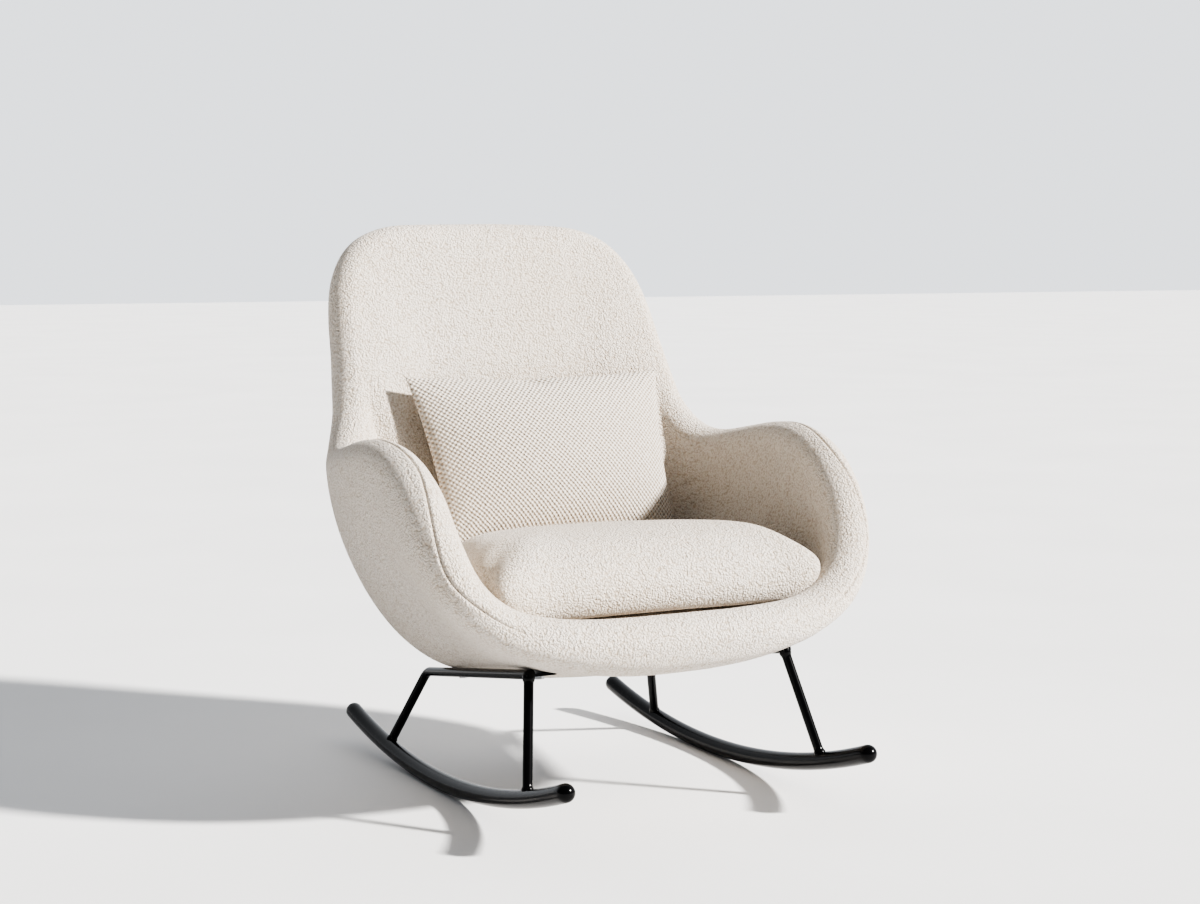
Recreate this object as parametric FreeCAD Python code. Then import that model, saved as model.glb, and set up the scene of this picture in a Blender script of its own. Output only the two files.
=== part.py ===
import FreeCAD, Part
import math
import os
from FreeCAD import Vector

# Upholstered rocking chair, millimetres. The sitter faces -Y, and +Z is up.
# The origin is on the floor, midway between the runners, where they touch it.

# Runners: round bars bent to one arc, with domed ends
runner_spacing = 542.0
runner_diameter = 30.0
runner_arc_radius = 1579.0
runner_rear_reach = 360.0
runner_front_reach = 520.0
runner_bends = 12
dome_rings = 2

# Legs and rails: steel rod
leg_diameter = 16.0
rear_foot_y = 190.0
front_foot_y = -388.0
rail_rear = Vector(222.5, 125.0, 168.0)
rail_front = Vector(236.5, -321.0, 243.5)
rail_overrun = 9.0
rail_bend_radius = 26.0

# Mounting plates, bolts, washers, sleeves and tee nuts
plate_length = 50.0
plate_reach = 56.0
plate_thickness = 4.0
plate_corner = 9.0
plate_setback = 34.0
rear_plate_y = 40.0
front_plate_y = -286.0
bolt_diameter = 8.0
bolt_head_width = 13.0
bolt_head_height = 5.0
washer_width = 20.0
washer_thickness = 1.6
sleeve_width = 14.0
nut_barrel = 11.0
nut_depth = 11.0
nut_flange = 22.0
nut_flange_thickness = 1.8

# Tub: centre line of the rounded rim, left half, from the front lip to the top
tub_half_width = 390.0
back_half_width = 304.0
back_top = 918.0
back_reach = 391.0
lip_reach = 388.0
lip_middle = Vector(0.0, -lip_reach, 296.0)
lip_quarter = Vector(170.0, 8.0 - lip_reach, 302.0)
lip_corner = Vector(285.0, 38.0 - lip_reach, 340.0)
arm_foot = Vector(tub_half_width - 40.0, -312.0, 415.0)
arm_nose = Vector(tub_half_width - 14.0, -262.0, 495.0)
arm_shoulder = Vector(tub_half_width - 4.0, -185.0, 548.0)
arm_crest = Vector(tub_half_width, -85.0, 564.0)
arm_middle = Vector(tub_half_width - 5.0, 30.0, 548.0)
arm_dip = Vector(tub_half_width - 28.0, 140.0, 538.0)
back_foot = Vector(back_half_width + 22.0, 215.0, 580.0)
back_low = Vector(back_half_width, 262.0, 660.0)
back_side = Vector(back_half_width - 13.0, 305.0, 750.0)
back_high = Vector(back_half_width - 33.0, back_reach - 39.0, back_top - 73.0)
back_corner = Vector(back_half_width - 89.0, back_reach - 8.0, back_top - 16.0)
top_quarter = Vector(110.0, back_reach - 1.0, back_top - 2.0)
top_middle = Vector(0.0, back_reach, back_top)
rim_radius = 38.0
back_lean = 25.5
arm_turn_start = 100.0
arm_turn_finish = 250.0
lip_turn_start = 300.0
lip_turn_finish = 370.0
arm_fan = 0.55
arm_fan_centre = -50.0
arm_tuck = 20.0
lip_tip = 21.0
tub_middle_height = 360.0
stations = 28
wall_pieces = 8
rim_pieces = 3
easing_passes = 10

# Tub: base opening and seat deck, two parallel planes tipped back by the seat pitch
seat_pitch = 7.0
base_centre_y = -60.0
base_drop = 12.5
base_half_width = 150.0
base_half_depth = 165.0
base_squareness = 2.6
base_lag = 18.0
deck_height = 118.0
deck_half_width = 168.0
deck_front = 190.0
deck_rear = 145.0

# Tub: how far each profile sets out before it turns up, as shares of its run
underside_reach = {"front": 0.77, "side": 0.51, "rear": 0.65, "front_corner": 0.04, "rear_corner": 0.24}
underside_rise = {"front": 0.27, "side": 0.15, "rear": 0.0, "front_corner": 0.08, "rear_corner": -0.13}
outside_sweep = {"front": 0.38, "side": 0.26, "rear": 0.60, "front_corner": -0.14, "rear_corner": 0.0}
inside_reach = {"front": 0.80, "side": 0.80, "rear": 0.12, "front_corner": 0.0, "rear_corner": 0.0}
inside_sweep = {"front": 0.42, "side": 0.42, "rear": 0.50, "front_corner": 0.0, "rear_corner": 0.0}
sideways_sweep = 0.5

# Bent plywood panel inside the tub, the deck pad over it and the cloth under it
panel_height = 48.0
panel_thickness = 15.0
panel_half_width = 222.0
panel_front = 258.0
panel_top = 830.0
panel_setback = 13.0
panel_lean = 18.0
panel_bend_radius = 70.0
panel_corner = 22.0
dust_cloth = 1.0

# Loose seat cushion
cushion_thickness = 128.0
cushion_seam_height = 50.0
cushion_side_height = 34.0
cushion_half_width = 302.0
cushion_front = 305.0
cushion_wall_gap = 5.0
cushion_foot_inset = 20.0
cushion_side_inset = 17.0
cushion_fullness = 3.0
crown_steps = (0.3, 0.62, 0.86, 0.97)

# Loose lumbar pillow
pillow_width = 510.0
pillow_height = 318.0
pillow_thickness = 128.0
pillow_draw_in = 17.0
pillow_lean = 25.0
pillow_offset = 22.0
pillow_squeeze = 0.12
pillow_rear = 151.4
pillow_sink = 19.6
pillow_fullness = 2.6
pillow_round = 0.12
pillow_pieces = 8

# Shared clearances
weld_gap = 0.05
fit_gap = 0.3
foam_gap = 0.6
rest_gap = 0.4
closing_steps = 12

os.makedirs("parts", exist_ok=True)

ACROSS = Vector(1, 0, 0)
ORIGIN = Vector(0, 0, 0)


def unit(vector):
    return vector * (1.0 / vector.Length)


def ease(value, low, high):
    share = min(1.0, max(0.0, (value - low) / (high - low)))
    return share * share * (3.0 - 2.0 * share)


def flipped(point):
    return Vector(-point.x, point.y, point.z)


def mirrored(shape):
    return shape.mirror(ORIGIN, ACROSS)


def save(node, *solids):
    shape = solids[0] if len(solids) == 1 else Part.makeCompound(list(solids))
    shape.exportStep("parts/" + node + ".step")


def save_pair(node, left_side):
    save(node + "_left", left_side)
    save(node + "_right", mirrored(left_side))


def straight_bar(radius, start, finish):
    return Part.makeCylinder(radius, (finish - start).Length, start, finish - start)


# Runners: circles along one arc, shrinking over the domed ends
arc_centre = Vector(runner_spacing / 2, 0, runner_diameter / 2 + runner_arc_radius)
leg_radius = leg_diameter / 2


def on_runner(y):
    drop = math.sqrt(runner_arc_radius ** 2 - y ** 2)
    return Vector(arc_centre.x, y, arc_centre.z - drop)


def runner_bar(radius):
    turn_front = -math.asin(runner_front_reach / runner_arc_radius)
    turn_rear = math.asin(runner_rear_reach / runner_arc_radius)
    dome_turns = [math.pi / 2 * step / (dome_rings + 0.5) for step in range(dome_rings + 1)]
    places = [(turn_front, -dome) for dome in dome_turns[:0:-1]]
    for step in range(runner_bends + 1):
        places.append((turn_front + (turn_rear - turn_front) * step / runner_bends, 0.0))
    places += [(turn_rear, dome) for dome in dome_turns[1:]]
    circles = []
    for turn, dome in places:
        along = Vector(0, math.cos(turn), math.sin(turn))
        middle = arc_centre + Vector(0, math.sin(turn), -math.cos(turn)) * runner_arc_radius
        middle = middle + along * (radius * math.sin(dome))
        circles.append(Part.Wire(Part.makeCircle(radius * math.cos(dome), middle, along)))
    return Part.makeLoft(circles, True, True)


rear_foot = on_runner(rear_foot_y)
front_foot = on_runner(front_foot_y)
runner = runner_bar(runner_diameter / 2)
runner_seat = runner_bar(runner_diameter / 2 + weld_gap)
save_pair("runner", runner)

# Rear leg and top rail: one rod with a bend, its foot coped over the runner
rail_line = unit(rail_front - rail_rear)
rail_end = rail_front + rail_line * rail_overrun


def rail_at(y):
    return rail_rear + rail_line * ((y - rail_rear.y) / rail_line.y)


def bent_bar(radius):
    leg_line = unit(rail_rear - rear_foot)
    half_turn = math.acos(leg_line.dot(rail_line)) / 2
    setback = rail_bend_radius * math.tan(half_turn)
    start = rail_rear - leg_line * setback
    finish = rail_rear + rail_line * setback
    inward = unit(rail_line - leg_line)
    crown = rail_rear + inward * (rail_bend_radius / math.cos(half_turn) - rail_bend_radius)
    bend = Part.Arc(start, crown, finish).toShape()
    path = Part.Wire([Part.makeLine(rear_foot, start), bend, Part.makeLine(finish, rail_end)])
    circle = Part.Wire(Part.makeCircle(radius, rear_foot, leg_line))
    return path.makePipeShell([circle], True, False)


rail = bent_bar(leg_radius).cut(runner_seat)
rail_seat = bent_bar(leg_radius + weld_gap)
save_pair("rear_leg_and_rail", rail)

# Front leg: a straight rod welded between the runner and the rail
front_leg = straight_bar(leg_radius, front_foot, rail_front).cut(runner_seat).cut(rail_seat)
save_pair("front_leg", front_leg)

# Tub: a smooth closed rim line, walked in equal steps from the lip to the top
half_rim = [
    lip_middle, lip_quarter, lip_corner, arm_foot, arm_nose, arm_shoulder, arm_crest, arm_middle,
    arm_dip, back_foot, back_low, back_side, back_high, back_corner, top_quarter, top_middle,
]
rim_points = half_rim + [flipped(point) for point in half_rim[-2:0:-1]]
rim_steps = [0.0]
for here, there in zip(rim_points, rim_points[1:] + rim_points[:1]):
    rim_steps.append(rim_steps[-1] + math.sqrt((there - here).Length))
rim_line = Part.BSplineCurve()
rim_line.interpolate(Points=rim_points, PeriodicFlag=True, Parameters=rim_steps)
half_way = rim_steps[len(half_rim) - 1]
rim_length = rim_line.length(0.0, half_way)

pitch = math.radians(seat_pitch)
lean = math.radians(back_lean)
seat_back = Vector(0, math.cos(pitch), -math.sin(pitch))
seat_up = Vector(0, math.sin(pitch), math.cos(pitch))
back_normal = Vector(0, math.cos(lean), -math.sin(lean))
lip_normal = Vector(0, -math.cos(math.radians(lip_tip)), -math.sin(math.radians(lip_tip)))
base_centre = Vector(0, base_centre_y, rail_at(base_centre_y).z - base_drop)
tub_middle = Vector(0, 0, tub_middle_height)


def on_seat(x, depth, height):
    return base_centre + Vector(x, 0, 0) + seat_back * depth + seat_up * height


def height_over_base(point):
    return (point - base_centre).dot(seat_up)


def depth_on_seat(point):
    return (point - base_centre).dot(seat_back)


def around(values, angle):
    toward = math.sin(angle)
    front = max(-toward, 0.0) ** 2
    rear = max(toward, 0.0) ** 2
    side = 1.0 - front - rear
    total = values["front"] * front + values["side"] * side + values["rear"] * rear
    return total + 4.0 * side * (values["front_corner"] * front + values["rear_corner"] * rear)


def wall_directions(point, tangent):
    # The wall faces sideways on the arms, along the back's normal on the back and forward on the lip
    on_back = ease(point.z, arm_dip.z, back_low.z + rim_radius)
    on_back = on_back * ease(point.y, arm_turn_start, arm_turn_finish)
    on_lip = ease(-point.y, lip_turn_start, lip_turn_finish) * ease(-point.z, -arm_foot.z, -lip_corner.z)
    sideways = unit(Vector(point.x, arm_fan * (point.y - arm_fan_centre), -arm_tuck))
    outward = sideways * ((1.0 - on_back) * (1.0 - on_lip))
    outward = outward + back_normal * on_back
    outward = outward + lip_normal * on_lip
    outward = unit(outward - tangent * outward.dot(tangent))
    upward = outward.cross(tangent)
    if upward.dot(point - tub_middle) < 0:
        upward = upward * -1
    return outward, upward


class Station:
    # One slice through the tub's wall: its outside and inside profiles and its rim

    def __init__(self, share):
        spot = rim_line.parameterAtDistance(share * rim_length, 0.0)
        self.rim = rim_line.value(spot)
        tangent = unit(Vector(*rim_line.tangent(spot)[0]))
        if share in (0.0, 1.0):
            self.rim.x = 0.0
            tangent = Vector(1 if share == 0.0 else -1, 0, 0)
        self.outward, self.upward = wall_directions(self.rim, tangent)
        self.angle = math.atan2(self.rim.y - base_centre_y, self.rim.x)
        lag = math.radians(base_lag) * max(0.0, math.sin(2.0 * self.angle))
        start_angle = self.angle - lag
        self.plan = Vector(math.cos(start_angle), math.sin(start_angle), 0)
        if share in (0.0, 1.0):
            self.plan.x = 0.0
        wide = abs(self.plan.x) ** base_squareness + abs(self.plan.y) ** base_squareness
        self.spread = wide ** (-1.0 / base_squareness)
        self.crest = self.rim + self.upward * rim_radius
        self.outside = self.outside_poles()
        self.inside = self.inside_poles()

    def base_point(self):
        x = base_half_width * self.spread * self.plan.x
        return on_seat(x, base_half_depth * self.spread * self.plan.y, 0.0)

    def deck_point(self):
        reach = deck_rear if self.plan.y > 0 else deck_front
        x = deck_half_width * self.spread * self.plan.x
        return on_seat(x, reach * self.spread * self.plan.y, deck_height)

    def profile(self, start, finish, reach, rise, sweep):
        run = finish - start
        flat_run = math.hypot(run.x, run.y)
        set_out = Vector(self.plan.x, self.plan.y, rise) * (reach * flat_run)
        climb = run - set_out
        climb = unit(climb - self.outward * climb.dot(self.outward))
        arrival = unit(climb + self.upward)
        square = sideways_sweep + (1.0 - sideways_sweep) * max(0.0, climb.dot(self.upward))
        return [start, start + set_out, finish - arrival * (sweep * square * run.Length), finish]

    def outside_poles(self):
        finish = self.rim + self.outward * rim_radius
        reach = around(underside_reach, self.angle)
        rise = around(underside_rise, self.angle)
        sweep = around(outside_sweep, self.angle)
        return self.profile(self.base_point(), finish, reach, rise, sweep)

    def inside_poles(self):
        finish = self.rim - self.outward * rim_radius
        reach = around(inside_reach, self.angle)
        sweep = around(inside_sweep, self.angle)
        return self.profile(self.deck_point(), finish, reach, 0.0, sweep)

    def rim_quarter(self, side):
        # A quarter circle from the wall's face to the crest of the rim
        tension = 4.0 / 3.0 * (math.sqrt(2.0) - 1.0) * rim_radius
        foot = self.rim + side * rim_radius
        return [foot, foot + self.upward * tension, self.crest + side * tension, self.crest]

    def opening_point(self, height, inset):
        # On the wall of the opening in the tub's floor, between the base and the deck
        edge = self.outside[0] + (self.inside[0] - self.outside[0]) * (height / deck_height)
        return edge - (ACROSS * self.plan.x + seat_back * self.plan.y) * inset


half_stations = [Station(step / stations) for step in range(stations + 1)]


def eased_along_rim(poles):
    # Each pole moves to the mean of itself and its neighbours, with mirrored neighbours at the ends
    before = [flipped(poles[1])] + poles[:-1]
    after = poles[1:] + [flipped(poles[-2])]
    return [here * 0.5 + (left + right) * 0.25 for left, here, right in zip(before, poles, after)]


def ease_profiles(profiles):
    # Evens out the two middle poles of every profile, and keeps the wall square to its rim
    for place in (1, 2):
        poles = [profile[place] for profile in profiles]
        for pass_number in range(easing_passes):
            poles = eased_along_rim(poles)
        for profile, pole, station in zip(profiles, poles, half_stations):
            if place == 2:
                pole = pole - station.outward * (pole - profile[3]).dot(station.outward)
            profile[place] = pole


ease_profiles([station.outside for station in half_stations])
ease_profiles([station.inside for station in half_stations])


def along_curve(poles, pieces):
    bezier = Part.BezierCurve()
    bezier.setPoles(poles)
    return [bezier.value(step / pieces) for step in range(pieces + 1)]


def polygon(points):
    return Part.makePolygon(points + points[:1])


def facet_pair(a, b, c, d):
    # Two flat triangles over a four-sided patch, folded along its shorter diagonal
    if (c - a).Length <= (d - b).Length:
        corners = ((a, b, c), (a, c, d))
    else:
        corners = ((a, b, d), (b, c, d))
    return [Part.Face(polygon(list(triangle))) for triangle in corners]


def faceted(loops, capped):
    # A solid of flat facets through loops of points, either with two flat ends or closed on itself
    following = loops[1:] if capped else loops[1:] + loops[:1]
    faces = []
    for near, far in zip(loops, following):
        for step in range(len(near)):
            after = (step + 1) % len(near)
            faces += facet_pair(near[step], near[after], far[after], far[step])
    if capped:
        faces += [Part.Face(polygon(loops[0])), Part.Face(polygon(loops[-1]))]
    shell = Part.makeShell(faces)
    shell.sewShape()
    solid = Part.Solid(shell)
    if solid.Volume < 0:
        solid.reverse()
    return solid


def whole_ring(half_points):
    return half_points + [flipped(point) for point in half_points[-2:0:-1]]


def tub_section(station):
    points = along_curve(station.outside, wall_pieces)
    points += along_curve(station.rim_quarter(station.outward), rim_pieces)[1:]
    points += along_curve(station.rim_quarter(station.outward * -1)[::-1], rim_pieces)[1:]
    points += along_curve(station.inside[::-1], wall_pieces)[1:]
    return points


half_sections = [tub_section(station) for station in half_stations]
other_sections = [[flipped(point) for point in section] for section in half_sections[-2:0:-1]]
tub_body = faceted(half_sections + other_sections, False)

# Bent plywood panel: a seat and a back in one strip, inside the tub's walls
panel_half = panel_thickness / 2
panel_tilt = math.radians(panel_lean)
panel_up = Vector(0, math.sin(panel_tilt), math.cos(panel_tilt))
panel_normal = Vector(0, math.cos(panel_tilt), -math.sin(panel_tilt))


def panel_solid(grow):
    half = panel_half + grow
    seat_mid = on_seat(0, 0, panel_height + panel_half)
    back_mid = Vector(0, back_side.y + panel_setback, back_side.z)
    gap = back_mid - seat_mid
    turn = seat_back.y * panel_up.z - seat_back.z * panel_up.y
    corner = seat_mid + seat_back * ((gap.y * panel_up.z - gap.z * panel_up.y) / turn)
    half_turn = math.acos(seat_back.dot(panel_up)) / 2
    tangent = panel_bend_radius * math.tan(half_turn)
    inward = unit(panel_up - seat_back)
    bend_centre = corner + inward * (panel_bend_radius / math.cos(half_turn))
    front_end = on_seat(0, -panel_front - grow, panel_height + panel_half)
    rise = (panel_top + grow - corner.z) / panel_up.z
    back_end = corner + panel_up * rise
    bend_start = corner - seat_back * tangent
    bend_finish = corner + panel_up * tangent
    under = [front_end - seat_up * half, bend_start - seat_up * half]
    under_crown = bend_centre - inward * (panel_bend_radius + half)
    behind = [bend_finish + panel_normal * half, back_end + panel_normal * half]
    ahead = [back_end - panel_normal * half, bend_finish - panel_normal * half]
    over_crown = bend_centre - inward * (panel_bend_radius - half)
    over = [bend_start + seat_up * half, front_end + seat_up * half]
    edges = [
        Part.makeLine(*under),
        Part.Arc(under[1], under_crown, behind[0]).toShape(),
        Part.makeLine(*behind),
        Part.makeLine(behind[1], ahead[0]),
        Part.makeLine(*ahead),
        Part.Arc(ahead[1], over_crown, over[0]).toShape(),
        Part.makeLine(*over),
        Part.makeLine(over[1], under[0]),
    ]
    side = Part.Face(Part.Wire(edges))
    width = panel_half_width + grow
    side.translate(ACROSS * -width)
    strip = side.extrude(ACROSS * (2 * width))
    ends = []
    for edge in strip.Edges:
        middle = edge.CenterOfMass
        at_end = min((middle - front_end).Length, (middle - back_end).Length) < width + half
        if at_end and abs(edge.Length - 2 * half) < fit_gap and abs(abs(middle.x) - width) < fit_gap:
            ends.append(edge)
    return strip.makeFillet(panel_corner, ends).Solids[0]


panel = panel_solid(0.0)
panel_pocket = panel_solid(foam_gap)
panel_over = panel_height + panel_thickness


def advanced(shape, direction, *stops):
    # Moves a shape until it lies a rest gap from the nearest stop
    for step in range(closing_steps):
        room = min(shape.distToShape(stop)[0] for stop in stops) - rest_gap
        if room < rest_gap / 8:
            break
        shape = shape.translated(direction * room)
    return shape


# Mounting plates: flat tabs welded to the rails under the tub, bolted through sleeves to the panel
along_rail = unit(rail_line - seat_up * rail_line.dot(seat_up))
to_middle = along_rail.cross(seat_up)
if to_middle.x > 0:
    to_middle = to_middle * -1


def plate_blank(start):
    # A tab with two rounded corners, reaching from the rail toward the middle
    near = [start + along_rail * (side * plate_length / 2) for side in (-1, 1)]
    far = [corner + to_middle * plate_reach for corner in near]
    blank = Part.Face(polygon([near[0], near[1], far[1], far[0]])).extrude(seat_up * -plate_thickness)
    round_edges = []
    for edge in blank.Edges:
        reaches = [(vertex.Point - start).dot(to_middle) for vertex in edge.Vertexes]
        at_far_end = min(reaches) > plate_reach - fit_gap
        if at_far_end and abs(edge.Length - plate_thickness) < fit_gap:
            round_edges.append(edge)
    return blank.makeFillet(plate_corner, round_edges).Solids[0]


class Mounting:
    # One plate with its bolt, washer, sleeve and tee nut

    def __init__(self, y):
        low = plate_blank(rail_at(y) - seat_up * leg_diameter)
        raised = advanced(low, seat_up, tub_body)
        self.top = rail_at(y) - seat_up * leg_diameter + raised.CenterOfMass - low.CenterOfMass
        self.hole = self.top + to_middle * plate_setback
        self.axis_foot = self.hole - seat_up * height_over_base(self.hole)
        plate = plate_blank(self.top).cut(rail_seat)
        self.plate = plate.cut(self.cylinder(bolt_diameter + 2 * fit_gap, -plate_thickness, 0.0, self.hole))
        self.under = height_over_base(self.hole) - plate_thickness

    def cylinder(self, diameter, low, high, origin):
        return Part.makeCylinder(diameter / 2, high - low, origin + seat_up * low, seat_up)

    def on_axis(self, diameter, low, high):
        return self.cylinder(diameter, low, high, self.axis_foot)

    def prism(self, sides, across_flats, low, high):
        radius = across_flats / 2 / math.cos(math.pi / sides)
        corners = []
        for side in range(sides):
            turn = 2 * math.pi * (side + 0.5) / sides
            spoke = to_middle * math.cos(turn) + along_rail * math.sin(turn)
            corners.append(self.axis_foot + seat_up * low + spoke * radius)
        return Part.Face(polygon(corners)).extrude(seat_up * (high - low))

    def washer(self):
        low = self.under - washer_thickness
        ring_blank = self.prism(4, washer_width, low, self.under)
        return ring_blank.cut(self.on_axis(bolt_diameter + 2 * fit_gap, low, self.under))

    def bolt(self):
        low = self.under - washer_thickness
        head = self.prism(6, bolt_head_width, low - bolt_head_height, low)
        shank = self.on_axis(bolt_diameter, low, panel_over + nut_flange_thickness)
        return head.fuse(shank).removeSplitter()

    def sleeve(self):
        low = self.under + plate_thickness
        blank = self.prism(6, sleeve_width, low, panel_height)
        return blank.cut(self.on_axis(bolt_diameter + 2 * fit_gap, low, panel_height))

    def tee_nut(self):
        barrel = self.on_axis(nut_barrel, panel_over - nut_depth, panel_over)
        flange = self.prism(6, nut_flange, panel_over, panel_over + nut_flange_thickness)
        bore = self.on_axis(bolt_diameter + 2 * fit_gap, panel_height, panel_over + nut_flange_thickness)
        return barrel.fuse(flange).removeSplitter().cut(bore)

    def tub_holes(self):
        passage = self.prism(6, sleeve_width + 2 * foam_gap, -deck_height, panel_height)
        pocket_top = panel_over + nut_flange_thickness + foam_gap
        return passage.fuse(self.prism(6, nut_flange + 2 * foam_gap, panel_over, pocket_top))

    def panel_hole(self):
        return self.on_axis(nut_barrel + 2 * fit_gap, panel_height, panel_over)


mountings = {"rear": Mounting(rear_plate_y), "front": Mounting(front_plate_y)}


def both_sides(shapes):
    return shapes + [mirrored(shape) for shape in shapes]


for place, mounting in mountings.items():
    save_pair("mount_plate_" + place, mounting.plate)
save("plate_bolts", *both_sides([mounting.bolt() for mounting in mountings.values()]))
save("bolt_washers", *both_sides([mounting.washer() for mounting in mountings.values()]))
save("spacer_sleeves", *both_sides([mounting.sleeve() for mounting in mountings.values()]))
save("tee_nuts", *both_sides([mounting.tee_nut() for mounting in mountings.values()]))

panel = panel.cut(both_sides([mounting.panel_hole() for mounting in mountings.values()]))
save("bent_plywood_panel", panel)

tub = tub_body.cut(panel_pocket).cut(both_sides([mounting.tub_holes() for mounting in mountings.values()]))
save("moulded_tub", tub)


# Floor of the tub: a foam pad on the panel and a cloth under it, both inside the opening
def opening_slab(low, high, inset):
    rings = []
    for height in (low, high):
        rings.append(whole_ring([station.opening_point(height, inset) for station in half_stations]))
    return faceted(rings, True)


deck_pad = opening_slab(panel_over, deck_height, foam_gap).cut(panel_pocket)
dust_cover = opening_slab(0.0, dust_cloth, rest_gap)
save("seat_deck_pad", deck_pad)
save("dust_cover", dust_cover)


# Loose seat cushion: rings that follow the tub's inside wall, widest at the seam and crowned on top
def wall_limit(station, height):
    # Where the wall's inside stands at a height over the base, or None where the wall is lower
    if height_over_base(station.crest) < height - rest_gap:
        return None
    facets = along_curve(station.inside, wall_pieces)
    for low, high in zip(facets, facets[1:]):
        below = height - height_over_base(low)
        above = height_over_base(high) - height
        if below >= 0 and above >= 0:
            return low + (high - low) * (below / (below + above))
    return station.inside[3]


def cushion_point(station, height, inset):
    limit = wall_limit(station, height)
    spot = limit or station.rim
    x = spot.x
    depth = depth_on_seat(spot)
    share = 1.0
    if x > 0:
        share = min(share, (cushion_half_width - inset) / x)
    if depth < 0:
        share = min(share, (cushion_front - inset) / -depth)
    if limit:
        share = min(share, 1.0 - (cushion_wall_gap + inset) / math.hypot(x, depth))
    return on_seat(x * share, depth * share, height)


def cushion_ring(height, inset):
    return whole_ring([cushion_point(station, deck_height + height, inset) for station in half_stations])


cushion_loops = [
    cushion_ring(rest_gap, cushion_foot_inset),
    cushion_ring(cushion_side_height, cushion_side_inset),
    cushion_ring(cushion_seam_height, 0.0),
]
crown_height = cushion_thickness - cushion_seam_height
crown_centre = on_seat(0, 0, deck_height + cushion_seam_height)
seam_loop = cushion_loops[-1]
for rise in crown_steps:
    scale = (1.0 - rise ** cushion_fullness) ** (1.0 / cushion_fullness)
    top = crown_centre + seat_up * (rise * crown_height)
    cushion_loops.append([top + (point - crown_centre) * scale for point in seam_loop])
seat_cushion = faceted(cushion_loops, True)
save("seat_cushion", seat_cushion)

# Loose lumbar pillow: a knife edge with drawn-in sides, and two crowned faces
pillow_tilt = math.radians(pillow_lean)
pillow_up = Vector(0, math.sin(pillow_tilt), math.cos(pillow_tilt))
pillow_front = Vector(0, -math.cos(pillow_tilt), math.sin(pillow_tilt))


def pillow_loop(bulge):
    # The outline at a share of the half thickness, from -1 at the rear face to 1 at the front
    inset = 1.0 - (1.0 - abs(bulge)) ** (1.0 / pillow_fullness)
    half_width = pillow_width / 2 - inset * pillow_height / 2
    half_height = pillow_height / 2 * (1.0 - inset)
    bow = inset * half_height * pillow_round - pillow_draw_in * (1.0 - inset)
    corners = [(-1, -1), (1, -1), (1, 1), (-1, 1)]
    points = []
    for (x, z), (next_x, next_z) in zip(corners, corners[1:] + corners[:1]):
        for step in range(pillow_pieces):
            share = step / pillow_pieces
            arch = 4.0 * share * (1.0 - share) * bow
            flat_x = (x + (next_x - x) * share) * half_width + arch * (x + next_x) / 2
            flat_z = (z + (next_z - z) * share) * half_height + arch * (z + next_z) / 2
            flat_x = flat_x * (1.0 - pillow_squeeze * (0.5 - flat_z / pillow_height))
            depth = pillow_front * (bulge * pillow_thickness / 2)
            points.append(ACROSS * flat_x + pillow_up * flat_z + depth)
    return points


pillow_sides = [-share for share in crown_steps[::-1]] + [0.0] + list(crown_steps)
pillow = faceted([pillow_loop(bulge) for bulge in pillow_sides], True)
pillow_depth = pillow_rear - pillow_thickness / 2
pillow_foot = on_seat(pillow_offset, pillow_depth, deck_height + cushion_thickness - pillow_sink)
pillow = pillow.translated(pillow_foot + pillow_up * (pillow_height / 2))
save("lumbar_pillow", pillow)
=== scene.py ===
import math

import bmesh
import bpy
import numpy as np
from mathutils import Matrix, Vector, noise


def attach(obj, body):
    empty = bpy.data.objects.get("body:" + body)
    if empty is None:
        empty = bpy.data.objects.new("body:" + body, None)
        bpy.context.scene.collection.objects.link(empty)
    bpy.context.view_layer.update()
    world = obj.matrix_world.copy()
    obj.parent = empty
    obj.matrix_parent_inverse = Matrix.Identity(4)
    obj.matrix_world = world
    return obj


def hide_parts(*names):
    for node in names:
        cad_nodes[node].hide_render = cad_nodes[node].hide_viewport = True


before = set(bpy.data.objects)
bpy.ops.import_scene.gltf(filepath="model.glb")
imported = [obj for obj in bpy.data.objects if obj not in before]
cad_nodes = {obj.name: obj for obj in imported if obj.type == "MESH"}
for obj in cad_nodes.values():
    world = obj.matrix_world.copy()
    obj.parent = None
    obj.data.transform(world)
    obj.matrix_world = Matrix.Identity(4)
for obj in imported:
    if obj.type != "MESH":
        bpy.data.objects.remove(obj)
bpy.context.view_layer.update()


# Runners: two round steel bars bent to one arc, with domed ends, under a satin black powder coat.
# The chair rolls on their undersides, and nothing fastens them to the floor.
runner_spacing = 0.542
runner_radius = 0.015
runner_arc = 1.579
runner_front = -0.520
runner_rear = 0.360
bar_sides = 40


def tree_of(material):
    material.use_nodes = True
    tree = material.node_tree
    tree.nodes.clear()
    shader = tree.nodes.new("ShaderNodeBsdfPrincipled")
    output = tree.nodes.new("ShaderNodeOutputMaterial")
    tree.links.new(shader.outputs["BSDF"], output.inputs["Surface"])
    return tree, shader


def add(tree, kind, settings=None, **wires):
    # One node, its plain settings, and its sockets: a value is set, an output socket is linked
    node = tree.nodes.new("ShaderNode" + kind)
    for name, value in (settings or {}).items():
        setattr(node, name, value)
    for name, value in wires.items():
        socket = node.inputs[int(name[1:])] if name[0] == "_" else node.inputs[name.replace("_", " ")]
        if isinstance(value, bpy.types.NodeSocket):
            tree.links.new(value, socket)
        else:
            socket.default_value = value
    return node


def shades(tree, factor, *stops):
    # A colour ramp from pairs of place and colour
    ramp = add(tree, "ValToRGB", Fac=factor)
    elements = ramp.color_ramp.elements
    while len(elements) < len(stops):
        elements.new(0.5)
    for element, (place, colour) in zip(elements, stops):
        element.position = place
        element.color = (*colour, 1.0)
    return ramp.outputs["Color"]


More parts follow.
